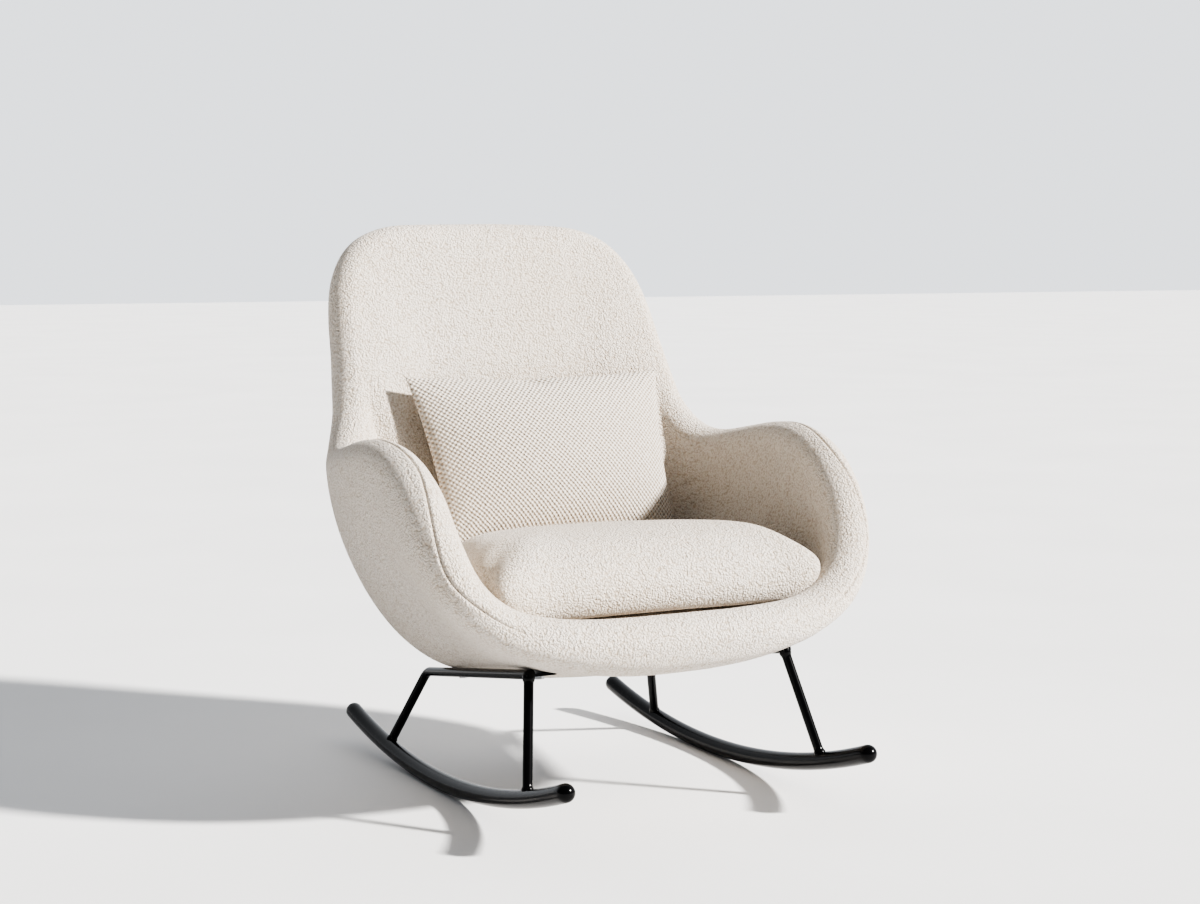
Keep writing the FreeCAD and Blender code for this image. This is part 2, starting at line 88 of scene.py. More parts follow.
def spread(tree, factor, low, high):
    ranged = add(tree, "MapRange", Value=factor, To_Min=low, To_Max=high)
    return ranged.outputs["Result"]


black_coat = bpy.data.materials.new("black_powder_coat")
tree, shader = tree_of(black_coat)
place = add(tree, "TexCoord").outputs["Object"]
peel = add(tree, "TexNoise", Vector=place, Scale=950.0, Detail=2.0).outputs["Fac"]
cloud = add(tree, "TexNoise", Vector=place, Scale=16.0, Detail=5.0, Roughness=0.6).outputs["Fac"]
coat_colour = shades(tree, cloud, (0.30, (0.0020, 0.0020, 0.0024)), (0.75, (0.0045, 0.0045, 0.0050)))
tree.links.new(coat_colour, shader.inputs["Base Color"])
tree.links.new(spread(tree, cloud, 0.17, 0.24), shader.inputs["Roughness"])
shader.inputs["Specular IOR Level"].default_value = 0.20
grain = add(tree, "Bump", Strength=0.04, Distance=0.0003, Height=peel)
tree.links.new(grain.outputs["Normal"], shader.inputs["Normal"])


def piece_from(name, points, faces, material):
    mesh = bpy.data.meshes.new(name)
    mesh.from_pydata([tuple(point) for point in points], [], faces)
    shaping = bmesh.new()
    shaping.from_mesh(mesh)
    bmesh.ops.recalc_face_normals(shaping, faces=shaping.faces)
    shaping.to_mesh(mesh)
    shaping.free()
    mesh.materials.append(material)
    mesh.shade_smooth()
    piece = bpy.data.objects.new(name, mesh)
    bpy.context.scene.collection.objects.link(piece)
    return piece


def round_bar(name, path, across, radii):
    # A round bar through points that lie in one plane, square to across, closed at both ends
    points = []
    faces = []
    for step, (middle, radius) in enumerate(zip(path, radii)):
        along = (path[min(step + 1, len(path) - 1)] - path[max(step - 1, 0)]).normalized()
        upward = across.cross(along)
        for side in range(bar_sides):
            turn = 2.0 * math.pi * side / bar_sides
            points.append(middle + (across * math.cos(turn) + upward * math.sin(turn)) * radius)
    for ring in range(len(path) - 1):
        first = ring * bar_sides
        for side in range(bar_sides):
            after = (side + 1) % bar_sides
            faces.append((first + side, first + after, first + bar_sides + after, first + bar_sides + side))
    faces.append(tuple(range(bar_sides)))
    faces.append(tuple(range(len(points) - bar_sides, len(points))))
    return piece_from(name, points, faces, black_coat)


def on_runner(y, side):
    centre_height = runner_radius + runner_arc
    return Vector((side * runner_spacing / 2, y, centre_height - math.sqrt(runner_arc ** 2 - y ** 2)))


for side, hand in ((1, "left"), (-1, "right")):
    arc = [on_runner(runner_front + (runner_rear - runner_front) * step / 80, side) for step in range(81)]
    front_along = (arc[0] - arc[1]).normalized()
    rear_along = (arc[-1] - arc[-2]).normalized()
    domes = [math.radians(turn) for turn in (15, 30, 45, 58, 70, 80, 87)]
    path = [arc[0] + front_along * (runner_radius * math.sin(turn)) for turn in domes[::-1]]
    path += arc
    path += [arc[-1] + rear_along * (runner_radius * math.sin(turn)) for turn in domes]
    ends = [runner_radius * math.cos(turn) for turn in domes]
    radii = ends[::-1] + [runner_radius] * len(arc) + ends
    runner = round_bar("runner_bar_" + hand, path, Vector((1, 0, 0)), radii)
    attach(runner, "chair")
    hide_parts("runner_" + hand)


# Rear legs and rails: one steel rod each side, bent over from the leg into the rail under the tub.
# The foot is welded to the top of the runner, with a small fillet of weld under the coat.
leg_radius = 0.008
rear_foot_y = 0.190
rail_rear = Vector((0.2225, 0.125, 0.168))
rail_front = Vector((0.2365, -0.321, 0.2435))
rail_overrun = 0.009
rail_bend = 0.026
weld_height = 0.007
weld_flare = 0.0022


def sided(point, side):
    return Vector((side * point.x, point.y, point.z))


def welded_radii(path, ends):
    # The rod's radius, flaring into a weld near each end that stands on another bar
    radii = []
    for middle in path:
        flare = 0.0
        for foot, bar in ends:
            rise = (middle - foot).length - bar
            if rise < weld_height:
                flare = max(flare, (1.0 - max(rise, 0.0) / weld_height) ** 2)
        radii.append(leg_radius + weld_flare * flare)
    return radii


def straight(start, finish, steps):
    return [start.lerp(finish, step / steps) for step in range(steps + 1)]


for side, hand in ((1, "left"), (-1, "right")):
    foot = on_runner(rear_foot_y, side)
    corner = sided(rail_rear, side)
    rail_line = (sided(rail_front, side) - corner).normalized()
    leg_line = (corner - foot).normalized()
    half_turn = leg_line.angle(rail_line) / 2
    setback = rail_bend * math.tan(half_turn)
    inward = (rail_line - leg_line).normalized()
    centre = corner + inward * (rail_bend / math.cos(half_turn))
    path = straight(foot, corner - leg_line * setback, 60)
    for step in range(1, 16):
        turn = half_turn * (2.0 * step / 16 - 1.0)
        spoke = (leg_line + rail_line).normalized() * math.sin(turn) - inward * math.cos(turn)
        path.append(centre + spoke * rail_bend)
    rail_end = sided(rail_front, side) + rail_line * rail_overrun
    path += straight(corner + rail_line * setback, rail_end, 40)
    rail = round_bar("rear_leg_rod_" + hand, path, leg_line.cross(rail_line).normalized(),
                     welded_radii(path, [(foot, runner_radius)]))
    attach(rail, "chair")
    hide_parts("rear_leg_and_rail_" + hand)


# Front legs: one straight steel rod each side, of the same stock and under the same black coat.
# Each is welded at its foot to the top of the runner, and at its head to the underside of the rail.
front_foot_y = -0.388

for side, hand in ((1, "left"), (-1, "right")):
    foot = on_runner(front_foot_y, side)
    head = sided(rail_front, side)
    path = straight(foot, head, 90)
    across = (head - foot).cross(Vector((0, 1, 0))).normalized()
    leg = round_bar("front_leg_rod_" + hand, path, across,
                    welded_radii(path, [(foot, runner_radius), (head, leg_radius)]))
    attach(leg, "chair")
    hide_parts("front_leg_" + hand)


# Mounting plates: flat steel tabs, two on each rail, with one hole each for a bolt.
# They are welded on before the coat, so one black skin runs over rail and plate.
def finish_node(name, material):
    for slot in cad_nodes[name].material_slots:
        slot.material = material


for place_name in ("rear_left", "rear_right", "front_left", "front_right"):
    finish_node("mount_plate_" + place_name, black_coat)


# Fasteners: hexagon bolts with washers, spacer sleeves and tee nuts, turned and pressed from steel
# and zinc plated, which leaves a dull, slightly cloudy grey with fine brushed lines.
zinc = bpy.data.materials.new("zinc_plated_steel")
tree, shader = tree_of(zinc)
place = add(tree, "TexCoord").outputs["Object"]
stretched = add(tree, "Mapping", Vector=place, Scale=(1.0, 1.0, 0.08)).outputs["Vector"]
lines = add(tree, "TexNoise", Vector=stretched, Scale=2400.0, Detail=3.0).outputs["Fac"]
cloud = add(tree, "TexNoise", Vector=place, Scale=90.0, Detail=4.0).outputs["Fac"]
zinc_colour = shades(tree, cloud, (0.3, (0.42, 0.43, 0.44)), (0.7, (0.58, 0.59, 0.60)))
tree.links.new(zinc_colour, shader.inputs["Base Color"])
shader.inputs["Metallic"].default_value = 1.0
tree.links.new(spread(tree, lines, 0.28, 0.48), shader.inputs["Roughness"])
grain = add(tree, "Bump", Strength=0.15, Distance=0.0002, Height=lines)
tree.links.new(grain.outputs["Normal"], shader.inputs["Normal"])
for name in ("plate_bolts", "bolt_washers", "spacer_sleeves", "tee_nuts"):
    finish_node(name, zinc)


# Bent plywood panel: a seat and back pressed in one strip from thin veneers, left raw.
# The foam is moulded round it, so only its underside shows once the dust cover is off.
plywood = bpy.data.materials.new("raw_bent_plywood")
tree, shader = tree_of(plywood)
place = add(tree, "TexCoord").outputs["Object"]
stretched = add(tree, "Mapping", Vector=place, Scale=(9.0, 0.7, 0.7)).outputs["Vector"]
fibres = add(tree, "TexNoise", Vector=stretched, Scale=24.0, Detail=8.0, Distortion=0.6).outputs["Fac"]
flecks = add(tree, "TexNoise", Vector=stretched, Scale=160.0, Detail=2.0).outputs["Fac"]
wood_colour = shades(tree, fibres, (0.28, (0.42, 0.27, 0.14)), (0.5, (0.60, 0.43, 0.26)),
                     (0.72, (0.70, 0.53, 0.35)))
tree.links.new(wood_colour, shader.inputs["Base Color"])
tree.links.new(spread(tree, flecks, 0.50, 0.72), shader.inputs["Roughness"])
grain = add(tree, "Bump", Strength=0.25, Distance=0.0004, Height=flecks)
tree.links.new(grain.outputs["Normal"], shader.inputs["Normal"])
finish_node("bent_plywood_panel", plywood)


# Tub: foam moulded in one piece round the panel, with arms that wrap out of the back and a belly under
# the seat. The cover is a looped boucle. Its seam runs on the crest of each arm and drifts to the outer
# side down the front. Sizes are in millimetres, as on the drawing.
mm = 0.001
half_rim = [
    (0, -388, 296), (182, -381, 299), (306, -352, 329), (364, -314, 403), (382, -262, 490), (387, -185, 548),
    (390, -85, 564), (385, 30, 548), (362, 140, 538), (326, 215, 580), (304, 262, 660), (291, 305, 750),
    (271, 352, 845), (215, 383, 902), (110, 390, 916), (0, 391, 918),
]
arm_foot_z, lip_corner_z, arm_dip_z, back_low_z = 415.0, 340.0, 538.0, 660.0
rim_radius = 38.0
tub_stations = 28
tub_finer = 4
seat_pitch = math.radians(7.0)
back_lean = math.radians(25.5)
lip_tip = math.radians(21.0)
arm_fan = math.radians(18.0)
opening_half_width, opening_half_depth = 150.0, 165.0
opening_power = 2.6
deck_half_width, deck_rear, deck_front = 168.0, 145.0, 190.0
profile_easing = 10
base_centre = Vector((0.0, -60.0, 186.82))
underside_reach = {"front": 0.77, "side": 0.51, "rear": 0.65, "front_corner": 0.04, "rear_corner": 0.24}
underside_rise = {"front": 0.15, "side": 0.15, "rear": 0.0, "front_corner": 0.12, "rear_corner": -0.13}
outside_sweep = {"front": 0.38, "side": 0.26, "rear": 0.60, "front_corner": -0.14, "rear_corner": 0.0}
inside_reach = {"front": 0.80, "side": 0.80, "rear": 0.12, "front_corner": 0.0, "rear_corner": 0.0}
inside_sweep = {"front": 0.42, "side": 0.42, "rear": 0.50, "front_corner": 0.0, "rear_corner": 0.0}
deck_height = 118.0
wall_share = [step / 22 for step in range(23)]
rim_steps = 6
seam_profile = [
    (-17.0, 0.2), (-10.0, 0.9), (-5.5, 1.1), (-2.5, -0.6), (0.0, -4.2),
    (2.5, -0.6), (5.5, 1.1), (10.0, 0.9), (17.0, 0.2),
]
seam_reach = 17.0
seam_on_top = 92.0
seam_in_front = 34.0

seat_back = Vector((0, math.cos(seat_pitch), -math.sin(seat_pitch)))
seat_up = Vector((0, math.sin(seat_pitch), math.cos(seat_pitch)))
back_normal = Vector((0, math.cos(back_lean), -math.sin(back_lean)))
lip_normal = Vector((0, -math.cos(lip_tip), -math.sin(lip_tip)))


def ease(value, low, high):
    share = min(1.0, max(0.0, (value - low) / (high - low)))
    return share * share * (3.0 - 2.0 * share)


def flipped(point):
    return Vector((-point.x, point.y, point.z))


def closed_spline(points, knots, places):
    # A closed cubic through points, read at places along its knots
    count = len(points)
    steps = np.diff(knots)
    system = np.zeros((count, count))
    right = np.zeros_like(points)
    for here in range(count):
        before, after = (here - 1) % count, (here + 1) % count
        system[here, before] += steps[before]
        system[here, here] += 2.0 * (steps[before] + steps[here])
        system[here, after] += steps[here]
        rise = (points[after] - points[here]) / steps[here] - (points[here] - points[before]) / steps[before]
        right[here] = 6.0 * rise
    bends = np.linalg.solve(system, right.reshape(count, -1)).reshape(points.shape)
    values = []
    for spot in places:
        here = min(int(np.searchsorted(knots, spot, side="right")) - 1, count - 1)
        after = (here + 1) % count
        step = steps[here]
        a, b = knots[here + 1] - spot, spot - knots[here]
        value = (bends[here] * a ** 3 + bends[after] * b ** 3) / (6.0 * step)
        value = value + (points[here] / step - bends[here] * step / 6.0) * a
        values.append(value + (points[after] / step - bends[after] * step / 6.0) * b)
    return np.array(values)


def around(values, angle):
    toward = math.sin(angle)
    front = max(-toward, 0.0) ** 2
    rear = max(toward, 0.0) ** 2
    flank = 1.0 - front - rear
    total = values["front"] * front + values["side"] * flank + values["rear"] * rear
    return total + 4.0 * flank * (values["front_corner"] * front + values["rear_corner"] * rear)


def on_seat(x, depth, height):
    return base_centre + Vector((x, 0, 0)) + seat_back * depth + seat_up * height


def wall_profile(slice_, start, finish, reach, rise, sweep):
    run = finish - start
    set_out = Vector((slice_["plan"].x, slice_["plan"].y, rise)) * (reach * math.hypot(run.x, run.y))
    climb = run - set_out
    climb = (climb - slice_["outward"] * climb.dot(slice_["outward"])).normalized()
    arrival = (climb + slice_["upward"]).normalized()
    square = 0.5 + 0.5 * max(0.0, climb.dot(slice_["upward"]))
    return [start, start + set_out, finish - arrival * (sweep * square * run.length), finish]


rim_points = np.array(half_rim + [(-x, y, z) for x, y, z in half_rim[-2:0:-1]], float)
chords = np.linalg.norm(np.roll(rim_points, -1, axis=0) - rim_points, axis=1)
rim_knots = np.concatenate([[0.0], np.cumsum(np.sqrt(chords))])
fine_places = np.linspace(0.0, rim_knots[len(half_rim) - 1], 1201)
fine_rim = closed_spline(rim_points, rim_knots, fine_places)
fine_length = np.concatenate([[0.0], np.cumsum(np.linalg.norm(np.diff(fine_rim, axis=0), axis=1))])
slices = []
for step in range(tub_stations + 1):
    spot = np.interp(step / tub_stations * fine_length[-1], fine_length, fine_places)
    here, ahead = closed_spline(rim_points, rim_knots, [spot, spot + 1e-3])
    rim, tangent = Vector(here), Vector(ahead - here).normalized()
    if step in (0, tub_stations):
        rim.x = 0.0
        tangent = Vector((1 if step == 0 else -1, 0, 0))
    on_back = ease(rim.z, arm_dip_z, back_low_z + rim_radius) * ease(rim.y, 100.0, 250.0)
    on_lip = ease(-rim.y, 300.0, 370.0) * ease(-rim.z, -arm_foot_z, -lip_corner_z)
    outward = Vector((rim.x, 0.55 * (rim.y + 50.0), -20.0)).normalized() * ((1.0 - on_back) * (1.0 - on_lip))
    outward = outward + back_normal * on_back + lip_normal * on_lip
    outward = (outward - tangent * outward.dot(tangent)).normalized()
    upward = outward.cross(tangent)
    if upward.dot(rim - Vector((0, 0, 360))) < 0:
        upward = -upward
    angle = math.atan2(rim.y - base_centre.y, rim.x)
    plan_angle = angle - arm_fan * max(0.0, math.sin(2.0 * angle))
    plan = Vector((math.cos(plan_angle), math.sin(plan_angle), 0))
    if step in (0, tub_stations):
        plan.x = 0.0
    widen = (abs(plan.x) ** opening_power + abs(plan.y) ** opening_power) ** (-1.0 / opening_power)
    cut = {"rim": rim, "outward": outward, "upward": upward, "plan": plan}
    base_edge = on_seat(opening_half_width * widen * plan.x, opening_half_depth * widen * plan.y, 0.0)
    deck_reach = deck_rear if plan.y > 0 else deck_front
    deck_edge = on_seat(deck_half_width * widen * plan.x, deck_reach * widen * plan.y, deck_height)
    cut["outside"] = wall_profile(cut, base_edge, rim + outward * rim_radius, around(underside_reach, angle),
                                  around(underside_rise, angle), around(outside_sweep, angle))
    cut["inside"] = wall_profile(cut, deck_edge, rim - outward * rim_radius, around(inside_reach, angle), 0.0,
                                 around(inside_sweep, angle))
    slices.append(cut)

for face in ("outside", "inside"):
    for pole in (1, 2):
        poles = [cut[face][pole] for cut in slices]
        for pass_number in range(profile_easing):
            before = [flipped(poles[1])] + poles[:-1]
            after = poles[1:] + [flipped(poles[-2])]
            poles = [here * 0.5 + (left + right) * 0.25 for left, here, right in zip(before, poles, after)]
        for cut, spot in zip(slices, poles):
            if pole == 2:
                spot = spot - cut["outward"] * (spot - cut[face][3]).dot(cut["outward"])
            cut[face][pole] = spot


def bezier(poles, share):
    rest = 1.0 - share
    return (poles[0] * rest ** 3 + poles[1] * (3 * rest * rest * share)
            + poles[2] * (3 * rest * share * share) + poles[3] * share ** 3)


def seam_turn(rim):
    # The seam's place round the rim, in degrees from its outer side
    return seam_in_front + (seam_on_top - seam_in_front) * ease(rim.y, -340.0, -190.0)


def tub_slice(cut):
    # Outside wall, over the rim with the seam sunk in it, inside wall, and back through the floor opening
    sewn = ease(abs(cut["rim"].x), 240.0, 330.0) * (1.0 - ease(cut["rim"].y, 40.0, 130.0))
    seam = seam_turn(cut["rim"])
    turns = [((seam - seam_reach) * step / rim_steps, 0.0) for step in range(1, rim_steps)]
    turns += [(seam + swing, dip * sewn) for swing, dip in seam_profile]
    rest = 180.0 - seam - seam_reach
    turns += [(180.0 - rest * step / rim_steps, 0.0) for step in range(rim_steps - 1, 0, -1)]
    loop = [bezier(cut["outside"], share) for share in wall_share]
    for turn, dip in turns:
        spoke = cut["outward"] * math.cos(math.radians(turn)) + cut["upward"] * math.sin(math.radians(turn))
        loop.append(cut["rim"] + spoke * (rim_radius + dip))
    loop += [bezier(cut["inside"], share) for share in wall_share[::-1]]
    for share in (0.06, 0.35, 0.65, 0.94):
        loop.append(cut["inside"][0].lerp(cut["outside"][0], share))
    return loop


half_loops = [tub_slice(cut) for cut in slices]
whole_loops = half_loops + [[flipped(point) for point in loop] for loop in half_loops[-2:0:-1]]
coarse = np.array([[tuple(point) for point in loop] for loop in whole_loops])
ring_knots = np.arange(len(coarse) + 1, dtype=float)
tub_grid = closed_spline(coarse, ring_knots, np.arange(len(coarse) * tub_finer) / tub_finer) * mm


def eased_surface(point):
    # Slight unevenness of foam and cloth, in metres
    soft = noise.noise(Vector(point) * 9.0) * 0.0012
    return soft + noise.noise(Vector(point) * 26.0 + Vector((7.0, 3.0, 1.0))) * 0.0006


rings, ring_size = tub_grid.shape[:2]
tub_faces = []
for ring in range(rings):
    after = (ring + 1) % rings
    for step in range(ring_size):
        beyond = (step + 1) % ring_size
        tub_faces.append((ring * ring_size + step, ring * ring_size + beyond,
                          after * ring_size + beyond, after * ring_size + step))


boucle = bpy.data.materials.new("cream_boucle")
tree, shader = tree_of(boucle)
place = add(tree, "TexCoord").outputs["Object"]
warp = add(tree, "TexNoise", Vector=place, Scale=150.0, Detail=2.0).outputs["Color"]
warp_small = add(tree, "VectorMath", {"operation": "SCALE"}, _0=warp, Scale=0.0040).outputs["Vector"]
warped = add(tree, "VectorMath", {"operation": "ADD"}, _0=place, _1=warp_small).outputs["Vector"]
loops = add(tree, "TexVoronoi", {"feature": "SMOOTH_F1"}, Vector=warped, Scale=270.0, Smoothness=0.35)
curls = add(tree, "TexVoronoi", {"feature": "F1"}, Vector=warped, Scale=600.0)
clumps = add(tree, "TexNoise", Vector=place, Scale=75.0, Detail=3.0, Roughness=0.6).outputs["Fac"]
drift = add(tree, "TexNoise", Vector=place, Scale=3.2, Detail=2.0).outputs["Fac"]
loop_rise = spread(tree, loops.outputs["Distance"], 1.0, -0.2)
curl_rise = spread(tree, curls.outputs["Distance"], 0.45, 0.0)
pile = add(tree, "Math", {"operation": "ADD"}, _0=loop_rise, _1=curl_rise).outputs["Value"]
clump_rise = spread(tree, clumps, -0.26, 0.26)
pile = add(tree, "Math", {"operation": "ADD"}, _0=pile, _1=clump_rise).outputs["Value"]
# The yarn colour follows the pile height. Painted shade darkens the hollows between the loops, and the clumps
# add tone that differs at random.
yarn_tone_and_hollow_shade = shades(tree, spread(tree, pile, 0.0, 0.72), (0.12, (0.57, 0.48, 0.39)), (0.45, (0.76, 0.69, 0.61)),
              (0.80, (0.84, 0.79, 0.73)))
wash = shades(tree, drift, (0.35, (0.97, 0.95, 0.92)), (0.65, (1.0, 1.0, 1.0)))
yarn_tone_and_hollow_shade = add(tree, "MixRGB", {"blend_type": "MULTIPLY"}, Fac=1.0, Color1=yarn_tone_and_hollow_shade, Color2=wash).outputs["Color"]
tree.links.new(yarn_tone_and_hollow_shade, shader.inputs["Base Color"])
shader.inputs["Roughness"].default_value = 0.92
shader.inputs["Specular IOR Level"].default_value = 0.2
shader.inputs["Sheen Weight"].default_value = 0.30
shader.inputs["Sheen Roughness"].default_value = 0.45
relief = add(tree, "Bump", Strength=0.85, Distance=0.0036, Height=pile)
tree.links.new(relief.outputs["Normal"], shader.inputs["Normal"])

tub_points = [Vector(point) for loop in tub_grid for point in loop]
tub = piece_from("tub_upholstery", tub_points, tub_faces, boucle)
for vertex in tub.data.vertices:
    vertex.co = vertex.co + vertex.normal * eased_surface(vertex.co)


def smoothed(piece, levels):
    rounding = piece.modifiers.new("rounding", "SUBSURF")
    rounding.levels = levels
    rounding.render_levels = levels


smoothed(tub, 1)
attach(tub, "chair")
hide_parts("moulded_tub")


# Seat deck pad: a slab of foam in plain cotton, with rounded edges.
# It is glued on the panel, inside the opening of the tub's floor, and the loose cushion lies on it.
panel_over = 63.0
pad_steps = [
    (0.4, 7.0), (2.0, 2.0), (8.0, 0.6), (44.0, 0.6), (51.0, 2.0), (54.0, 7.0), (55.0, 24.0), (55.0, 60.0),
]

cotton = bpy.data.materials.new("plain_cotton")
tree, shader = tree_of(cotton)
place = add(tree, "TexCoord").outputs["Object"]
thread_ways = []
for way in ("X", "Y"):
    thread_way = add(tree, "TexWave", {"bands_direction": way}, Vector=place, Scale=210.0, Distortion=1.2,
                     Detail=2.0)
    thread_ways.append(thread_way.outputs["Fac"])
threads = add(tree, "Math", {"operation": "MULTIPLY"}, _0=thread_ways[0], _1=thread_ways[1])
cotton_colour = shades(tree, threads.outputs["Value"], (0.1, (0.58, 0.53, 0.45)), (0.8, (0.74, 0.70, 0.62)))
tree.links.new(cotton_colour, shader.inputs["Base Color"])
shader.inputs["Roughness"].default_value = 0.9
shader.inputs["Sheen Weight"].default_value = 0.15
relief = add(tree, "Bump", Strength=0.4, Distance=0.0006, Height=threads.outputs["Value"])
tree.links.new(relief.outputs["Normal"], shader.inputs["Normal"])


def opening_ring(height, inset):
    ring = []
    for cut in slices:
        edge = cut["outside"][0].lerp(cut["inside"][0], height / deck_height)
        ring.append(edge - (Vector((cut["plan"].x, 0, 0)) + seat_back * cut["plan"].y) * inset)
    return ring + [flipped(point) for point in ring[-2:0:-1]]


def stacked(name, loops, material):
    # A closed form through loops of points, one over the other
    points = [point * mm for loop in loops for point in loop]
    size = len(loops[0])
    faces = []
    for level in range(len(loops) - 1):
        for step in range(size):
            after = (step + 1) % size
            faces.append((level * size + step, level * size + after,
                          (level + 1) * size + after, (level + 1) * size + step))
    for loop, first in ((loops[0], 0), (loops[-1], size * (len(loops) - 1))):
        points.append(sum(loop, Vector()) * (mm / size))
        for step in range(size):
            faces.append((first + step, first + (step + 1) % size, len(points) - 1))
    return piece_from(name, points, faces, material)


deck_rings = [opening_ring(panel_over + rise, inset) for rise, inset in pad_steps]
deck = stacked("seat_deck_upholstery", deck_rings, cotton)
smoothed(deck, 1)
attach(deck, "chair")
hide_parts("seat_deck_pad")


# Dust cover: one sheet of thin black felt, cut to the opening under the tub.
# It is stretched flat across the opening and held at its edge.
felt = bpy.data.materials.new("black_felt")
tree, shader = tree_of(felt)
place = add(tree, "TexCoord").outputs["Object"]
fibres = add(tree, "TexNoise", Vector=place, Scale=700.0, Detail=4.0, Roughness=0.7).outputs["Fac"]
felt_colour = shades(tree, fibres, (0.3, (0.012, 0.012, 0.012)), (0.7, (0.045, 0.045, 0.047)))
tree.links.new(felt_colour, shader.inputs["Base Color"])
shader.inputs["Roughness"].default_value = 0.95
relief = add(tree, "Bump", Strength=0.5, Distance=0.0004, Height=fibres)
tree.links.new(relief.outputs["Normal"], shader.inputs["Normal"])
felt_rings = [opening_ring(0.5, 0.4 + inset) for inset in (0.0, 12.0, 40.0, 80.0)]
felt_points = [point * mm for ring in felt_rings for point in ring]
felt_size = len(felt_rings[0])
felt_faces = []
for level in range(len(felt_rings) - 1):
    for step in range(felt_size):
        after = (step + 1) % felt_size
        felt_faces.append((level * felt_size + step, level * felt_size + after,
                           (level + 1) * felt_size + after, (level + 1) * felt_size + step))
felt_points.append(sum(felt_rings[-1], Vector()) * (mm / felt_size))
for step in range(felt_size):
    first = (len(felt_rings) - 1) * felt_size
    felt_faces.append((first + step, first + (step + 1) % felt_size, len(felt_points) - 1))
cover = piece_from("dust_cover_felt", felt_points, felt_faces, felt)
if sum(polygon.normal.z for polygon in cover.data.polygons) > 0:
    cover.data.flip_normals()
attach(cover, "chair")
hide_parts("dust_cover")


# Seat cushion: a loose foam block with a crowned top in the tub's boucle, drawn in to one sewn seam
# round its sides. It lies in the bowl of the tub and is a little wider than the floor of it.
cushion_ring_size = 56
cushion_seam_height = 50.0
cushion_crown = 75.0
cushion_swell = 0.008
cushion_side_swell = 0.002
cushion_easing = 40
cushion_droop = 15.0
cushion_side_height = 34.0
cushion_round = 34.0
cushion_free_from, cushion_free_to = 20.0, 240.0
cushion_seam_crease, cushion_corner_crease = 0.10, 0.6
fill_pressure = 4.0
fill_frames = 20
cushion_ear = 0.014
cushion_ear_reach = 0.034


def cad_loops(name, axis, foot, size):
    # The corners of a node's solid, as loops at even heights, each in order round its middle
    corners = np.array([tuple(vertex.co) for vertex in cad_nodes[name].data.vertices])
    corners = np.unique(np.round(corners, 6), axis=0)
    order = np.argsort((corners - np.array(foot)) @ np.array(axis))
    loops = []
    for first in range(0, len(order), size):
        members = corners[order[first:first + size]]
        middle = members.mean(axis=0)
        turns = np.arctan2(members[:, 1] - middle[1], members[:, 0] - middle[0])
        loops.append(members[np.argsort(turns)] / mm)
    return loops


def inflated(piece, pressure, frames, pins):
    # Blows the cover up against its own stiffness, and gives back where its points come to
    group = piece.vertex_groups.new(name="sewn")
    for index in pins:
        group.add([index], 1.0, "REPLACE")
    cloth = piece.modifiers.new("cover", "CLOTH")
    settings = cloth.settings
    settings.quality = 6
    settings.mass = 0.25
    settings.tension_stiffness = 25.0
    settings.compression_stiffness = 8.0
    settings.shear_stiffness = 6.0
    settings.bending_stiffness = 0.25
    settings.tension_damping = 8.0
    settings.use_pressure = True
    settings.uniform_pressure_force = pressure
    settings.effector_weights.gravity = 0.0
    if pins:
        settings.vertex_group_mass = "sewn"
    cloth.collision_settings.use_collision = False
    cloth.point_cache.frame_start = 1
    cloth.point_cache.frame_end = frames
    scene = bpy.context.scene
    for frame_number in range(1, frames + 1):
        scene.frame_set(frame_number)
    evaluated = piece.evaluated_get(bpy.context.evaluated_depsgraph_get())
    blown = np.array([tuple(vertex.co) for vertex in evaluated.data.vertices])
    piece.modifiers.remove(cloth)
    piece.vertex_groups.remove(group)
    scene.frame_set(1)
    return blown


def moved_to(piece, points):
    for vertex, point in zip(piece.data.vertices, points):
        vertex.co = point
    piece.data.update()


foot_loop, side_loop, seam_loop = [
    closed_spline(loop, np.arange(cushion_ring_size + 1.0), np.arange(cushion_ring_size * 4) / 4)
    for loop in cad_loops("seat_cushion", seat_up, base_centre * mm, cushion_ring_size)[:3]
]
seam_middle = np.array(on_seat(0, 0, deck_height + cushion_seam_height))
seam_flat = seam_loop - np.outer((seam_loop - seam_middle) @ np.array(seat_up), np.array(seat_up))
seam_depths = (seam_flat - seam_middle) @ np.array(seat_back)
forward = np.array([ease(-depth, cushion_free_from, cushion_free_to) for depth in seam_depths])[:, None]
toward_middle = (seam_middle - seam_flat) / np.linalg.norm(seam_middle - seam_flat, axis=1, keepdims=True)


def lower_ring(share):
    # Between the foot and the seam: straight by the walls of the tub, and round at the free front edge
    bend = cushion_side_height / cushion_seam_height
    if share < bend:
        by_wall = foot_loop + (side_loop - foot_loop) * (share / bend)
    else:
        by_wall = side_loop + (seam_loop - side_loop) * ((share - bend) / (1.0 - bend))
    inset = cushion_round * (1.0 - math.sqrt(1.0 - (1.0 - share) ** 2))
    drop = np.array(seat_up) * ((share - 1.0) * cushion_seam_height)
    return by_wall * (1.0 - forward) + (seam_loop + toward_middle * inset + drop) * forward


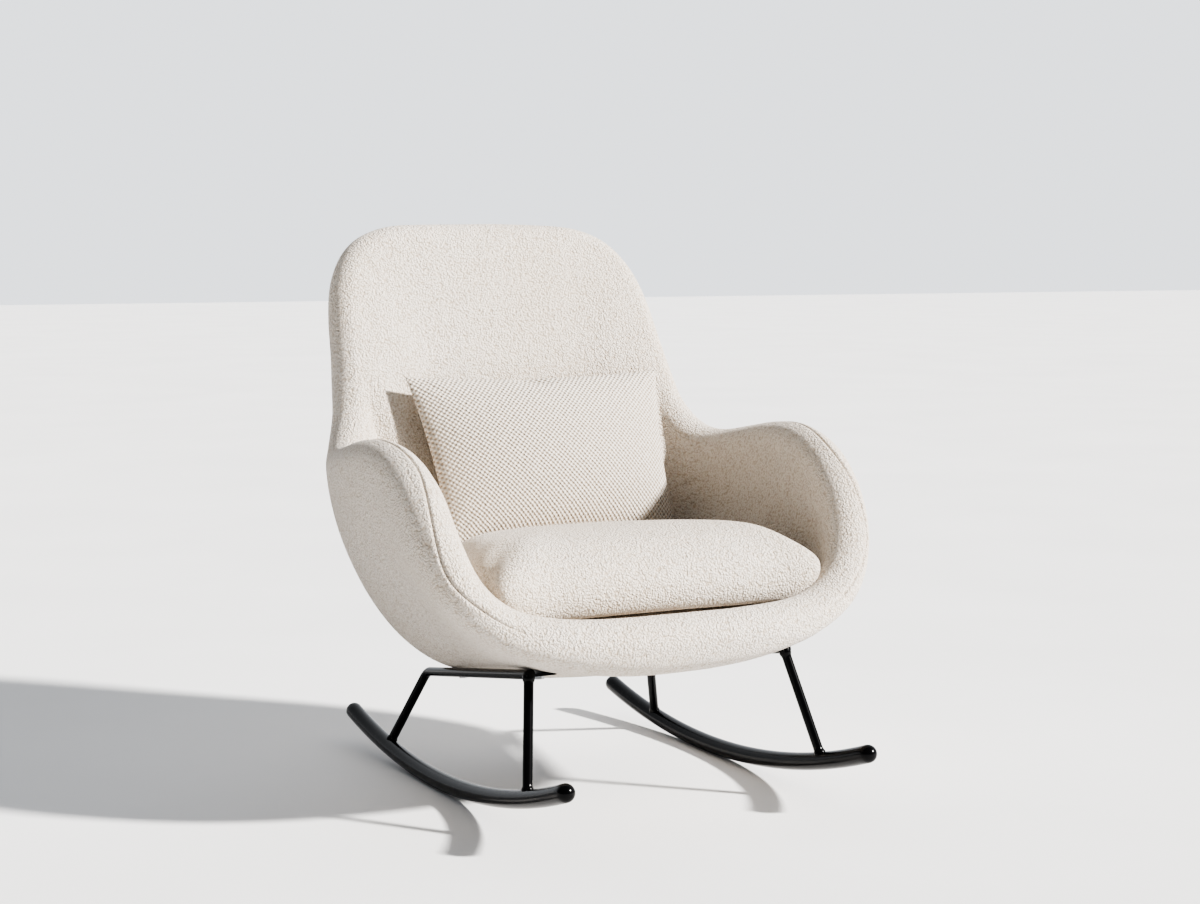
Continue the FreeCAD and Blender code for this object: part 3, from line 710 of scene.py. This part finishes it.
lower_rings = [lower_ring(share) for share in (0.0, 0.04, 0.12, 0.24, 0.38, 0.54, 0.7, 0.86)]
foot_middle = lower_rings[0].mean(axis=0)
foot_shares = (0.15, 0.35, 0.55, 0.75, 0.9)
cushion_rings = [foot_middle + (lower_rings[0] - foot_middle) * share for share in foot_shares]
cushion_rings += lower_rings
seam_level = len(cushion_rings)
for step in range(25):
    turn = math.pi / 2 * step / 25
    lift = np.array(seat_up) * (cushion_crown * math.sin(turn) ** (2 / 3))
    cushion_rings.append(seam_middle + (seam_loop - seam_middle) * math.cos(turn) ** (2 / 3) + lift)
cushion = stacked("seat_cushion_cover", [[Vector(point) for point in ring] for ring in cushion_rings], boucle)
around_seam = len(seam_loop)
seam_first = seam_level * around_seam
held = list(range(6 * around_seam)) + list(range(seam_first, seam_first + around_seam))
held.append(len(cushion.data.vertices) - 2)
start = np.array([tuple(vertex.co) for vertex in cushion.data.vertices])
travel = inflated(cushion, fill_pressure, fill_frames, held) - start
sheet = travel[:len(cushion_rings) * around_seam].reshape(len(cushion_rings), around_seam, 3)
for pass_number in range(cushion_easing):
    beside = (np.roll(sheet, 1, axis=1) + np.roll(sheet, -1, axis=1)) / 2
    sheet[1:-1] = sheet[1:-1] * 0.4 + beside[1:-1] * 0.3 + (sheet[:-2] + sheet[2:]) * 0.15
limits = np.full((len(start), 1), cushion_swell)
limits[:seam_first] = cushion_side_swell
far = np.maximum(np.linalg.norm(travel, axis=1, keepdims=True), 1e-9)
moved_to(cushion, start + travel * np.minimum(1.0, limits / far))
for vertex in cushion.data.vertices:
    local = vertex.co / mm - base_centre
    over_lip = ease(-local.dot(seat_back), 170.0, 300.0)
    above = local.dot(seat_up) - deck_height
    vertex.co = vertex.co - seat_up * (over_lip * (cushion_droop - 0.05 * max(above, 0.0)) * mm)
for hand in (1, -1):
    corner = max(seam_loop.tolist(), key=lambda spot: hand * spot[0] - spot[1])
    tip = Vector(corner) * mm
    for vertex in cushion.data.vertices:
        near = math.exp(-((vertex.co - tip).length / cushion_ear_reach) ** 2)
        vertex.co = vertex.co + Vector((hand * 0.9, -0.4, -0.2)) * (cushion_ear * near)
creases = cushion.data.attributes.new("crease_edge", "FLOAT", "EDGE")
for edge in cushion.data.edges:
    if all(seam_first <= corner < seam_first + around_seam for corner in edge.vertices):
        corner = cushion.data.vertices[edge.vertices[0]].co
        sharper = cushion_corner_crease * ease(abs(corner.x), 0.22, 0.28) * ease(-corner.y, 0.2, 0.28)
        creases.data[edge.index].value = cushion_seam_crease + sharper
smoothed(cushion, 1)
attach(cushion, "cushion")
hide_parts("seat_cushion")


# Lumbar pillow: two rectangles of a coarse basket weave, sewn together round their edges and stuffed.
# Filling draws the sides in and leaves pointed corners. It leans on the back and stands on the cushion.
pillow_width = 0.510
pillow_height = 0.318
pillow_thickness = 0.120
pillow_cells = (84, 54)
pillow_draw_in = 0.011
pillow_squeeze = 0.12
pillow_room = 0.128
pillow_swell = 0.007
pillow_lean = math.radians(25.0)
pillow_offset, pillow_depth, pillow_foot = 22.0, 96.5, 105.7
pillow_spot = on_seat(pillow_offset, pillow_depth, deck_height + pillow_foot) * mm
pillow_flatness, pillow_fullness = 2.1, 0.60
pucker_depth, pucker_reach, pucker_count = 0.0035, 0.05, 13.0
crease_depth, crease_middle, crease_height = 0.016, -0.02, 0.134
crease_length, crease_width, crease_slope = 0.035, 0.008, 0.2
weave_pitch = 0.0094

basket = bpy.data.materials.new("cream_basket_weave")
tree, shader = tree_of(basket)
cloth_place = add(tree, "UVMap", {"uv_map": "cloth"}).outputs["UV"]
wander = add(tree, "TexNoise", Vector=cloth_place, Scale=70.0, Detail=2.0).outputs["Color"]
wander = add(tree, "VectorMath", {"operation": "SCALE"}, _0=wander, Scale=0.0032).outputs["Vector"]
cloth_place_bent = add(tree, "VectorMath", {"operation": "ADD"}, _0=cloth_place, _1=wander).outputs["Vector"]
ways = add(tree, "SeparateXYZ", Vector=cloth_place_bent)
swings = []
for way in ("X", "Y"):
    turned = add(tree, "Math", {"operation": "MULTIPLY"}, _0=ways.outputs[way], _1=2 * math.pi / weave_pitch)
    swings.append(add(tree, "Math", {"operation": "SINE"}, _0=turned.outputs["Value"]).outputs["Value"])
crossing = add(tree, "Math", {"operation": "MULTIPLY"}, _0=swings[0], _1=swings[1]).outputs["Value"]
knots = add(tree, "MapRange", Value=crossing, From_Min=-1.0, From_Max=1.0, To_Min=0.0, To_Max=1.0)
fuzz = add(tree, "TexNoise", Vector=cloth_place, Scale=620.0, Detail=3.0, Roughness=0.7).outputs["Fac"]
uneven = add(tree, "TexNoise", Vector=cloth_place, Scale=120.0, Detail=2.0).outputs["Fac"]
weave = knots.outputs["Result"]
for unevenness in (spread(tree, fuzz, -0.22, 0.22), spread(tree, uneven, -0.25, 0.25)):
    weave = add(tree, "Math", {"operation": "ADD"}, _0=weave, _1=unevenness).outputs["Value"]
# The colour follows the weave's height. Painted shade darkens the low places between the crossings, and fuzz
# and unevenness add tone that differs at random.
weave_tone_and_hollow_shade = shades(tree, weave, (0.10, (0.44, 0.35, 0.26)), (0.42, (0.70, 0.62, 0.53)),
                      (0.80, (0.84, 0.79, 0.72)))
tree.links.new(weave_tone_and_hollow_shade, shader.inputs["Base Color"])
shader.inputs["Roughness"].default_value = 0.9
shader.inputs["Specular IOR Level"].default_value = 0.2
shader.inputs["Sheen Weight"].default_value = 0.25
shader.inputs["Sheen Roughness"].default_value = 0.45
relief = add(tree, "Bump", Strength=0.95, Distance=0.0036, Height=weave)
tree.links.new(relief.outputs["Normal"], shader.inputs["Normal"])

columns, rows = pillow_cells
index_of = {}
pillow_points = []
for face in (1, -1):
    for column in range(columns + 1):
        for row in range(rows + 1):
            u, v = 2.0 * column / columns - 1.0, 2.0 * row / rows - 1.0
            edge = column in (0, columns) or row in (0, rows)
            if face == -1 and edge:
                index_of[face, column, row] = index_of[1, column, row]
                continue
            full = (1.0 - abs(u) ** pillow_flatness) * (1.0 - abs(v) ** pillow_flatness)
            bulge = face * pillow_thickness / 2 * full ** pillow_fullness
            x = u * (pillow_width / 2 - pillow_draw_in * (1.0 - v * v))
            z = v * (pillow_height / 2 - pillow_draw_in * (1.0 - u * u))
            nearest = (1.0 - abs(u)) * (1.0 - abs(v))
            pucker = math.exp(-nearest / pucker_reach) * (1.0 - max(abs(u), abs(v)) ** 12)
            gathers = math.sin(math.atan2(1.0 - abs(v), 1.0 - abs(u)) * pucker_count + u + 2.0 * v)
            bulge = bulge + face * pucker_depth * pucker * gathers
            index_of[face, column, row] = len(pillow_points)
            pillow_points.append(Vector((x, -bulge, z)))
pillow_faces = []
for face in (1, -1):
    for column in range(columns):
        for row in range(rows):
            corners = [(column, row), (column + 1, row), (column + 1, row + 1), (column, row + 1)]
            pillow_faces.append(tuple(index_of[face, *corner] for corner in corners[::face]))
flat_place = [(point.x, point.z) for point in pillow_points]
pillow = piece_from("lumbar_pillow_cover", pillow_points, pillow_faces, basket)
cloth_map = pillow.data.uv_layers.new(name="cloth")
for loop in pillow.data.loops:
    cloth_map.data[loop.index].uv = flat_place[loop.vertex_index]
shape = np.array([tuple(vertex.co) for vertex in pillow.data.vertices])
sewn_edge = [index_of[1, column, row] for column in range(columns + 1) for row in range(rows + 1)
             if column in (0, columns) or row in (0, rows)]
travel = inflated(pillow, fill_pressure, fill_frames, sewn_edge) - shape
far = np.maximum(np.linalg.norm(travel, axis=1, keepdims=True), 1e-9)
shape = shape + travel * np.minimum(1.0, pillow_swell / far)
shape[:, 1] *= pillow_room / np.ptp(shape[:, 1])
along_crease = (shape[:, 0] - crease_middle) / crease_length
across_crease = (shape[:, 2] + crease_slope * shape[:, 0] - crease_height) / crease_width
crease = np.exp(-along_crease ** 2) * np.exp(-across_crease ** 2)
shape[:, 1] += np.where(shape[:, 1] < 0, crease_depth, 0.0) * crease
pillow_up = Vector((0, math.sin(pillow_lean), math.cos(pillow_lean)))
pillow_rearward = Vector((0, math.cos(pillow_lean), -math.sin(pillow_lean)))
placed = []
for x, y, z in shape:
    x = x * (1.0 - pillow_squeeze * (0.5 - z / pillow_height))
    placed.append(pillow_spot + Vector((x, 0, 0)) + pillow_up * (z + pillow_height / 2) + pillow_rearward * y)
moved_to(pillow, placed)
smoothed(pillow, 1)
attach(pillow, "pillow")
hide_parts("lumbar_pillow")


# Studio: a plain pale floor, a low soft key light from the right, and a pale sky for fill.
# The sky is brighter behind the chair than on the side of the camera, as with a lit backdrop.
floor_reach = 30.0
sky_dim, sky_bright = 0.26, 1.2

plaster = bpy.data.materials.new("pale_floor")
tree, shader = tree_of(plaster)
place = add(tree, "TexCoord").outputs["Object"]
mottle = add(tree, "TexNoise", Vector=place, Scale=1.4, Detail=3.0).outputs["Fac"]
floor_colour = shades(tree, mottle, (0.3, (0.84, 0.835, 0.83)), (0.7, (0.88, 0.875, 0.87)))
tree.links.new(floor_colour, shader.inputs["Base Color"])
shader.inputs["Roughness"].default_value = 0.7
floor_corners = [Vector((x, y, 0)) * floor_reach for x, y in ((-1, -1), (1, -1), (1, 1), (-1, 1))]
floor = piece_from("studio_floor", floor_corners, [(0, 1, 2, 3)], plaster)

view_turn = math.radians(-27.3214)
view_rise = math.radians(5.5059)
view_right = Vector((math.cos(view_turn), math.sin(view_turn), 0))
view_back = Vector((math.sin(view_turn) * math.cos(view_rise), -math.cos(view_turn) * math.cos(view_rise),
                    math.sin(view_rise)))
sun_rise = math.radians(32.0)
sun_swing = math.radians(13.0)
toward_viewer = Vector((view_back.x, view_back.y, 0)).normalized()
sun_from = (view_right * math.cos(sun_swing) + toward_viewer * math.sin(sun_swing)) * math.cos(sun_rise)
sun_from = sun_from + Vector((0, 0, math.sin(sun_rise)))
sun_light = bpy.data.lights.new("key_light", "SUN")
sun_light.energy = 8.0
sun_light.angle = math.radians(4.0)
sun_light.color = (1.0, 0.975, 0.945)
sun = bpy.data.objects.new("key_light", sun_light)
sun.rotation_euler = sun_from.to_track_quat("Z", "Y").to_euler()
bpy.context.scene.collection.objects.link(sun)

sky = bpy.data.worlds.new("pale_sky")
sky.use_nodes = True
backdrop = sky.node_tree.nodes["Background"]
backdrop.inputs["Color"].default_value = (0.90, 0.93, 0.97, 1.0)
gaze = sky.node_tree.nodes.new("ShaderNodeTexCoord").outputs["Generated"]
ahead = add(sky.node_tree, "VectorMath", {"operation": "DOT_PRODUCT"}, _0=gaze, _1=-toward_viewer)
glow = add(sky.node_tree, "MapRange", {"interpolation_type": "SMOOTHSTEP"}, Value=ahead.outputs["Value"],
           From_Min=0.0, From_Max=0.9, To_Min=sky_dim, To_Max=sky_bright)
sky.node_tree.links.new(glow.outputs["Result"], backdrop.inputs["Strength"])
bpy.context.scene.world = sky
bpy.context.scene.view_settings.look = "AgX - High Contrast"

lens = bpy.data.cameras.new("photo_view")
lens.sensor_width = 36.0
lens.lens = 64.5
camera = bpy.data.objects.new("photo_view", lens)
camera.location = (-1.66675, -3.33395, 0.91664)
camera.rotation_euler = view_back.to_track_quat("Z", "Y").to_euler()
bpy.context.scene.collection.objects.link(camera)
bpy.context.scene.camera = camera
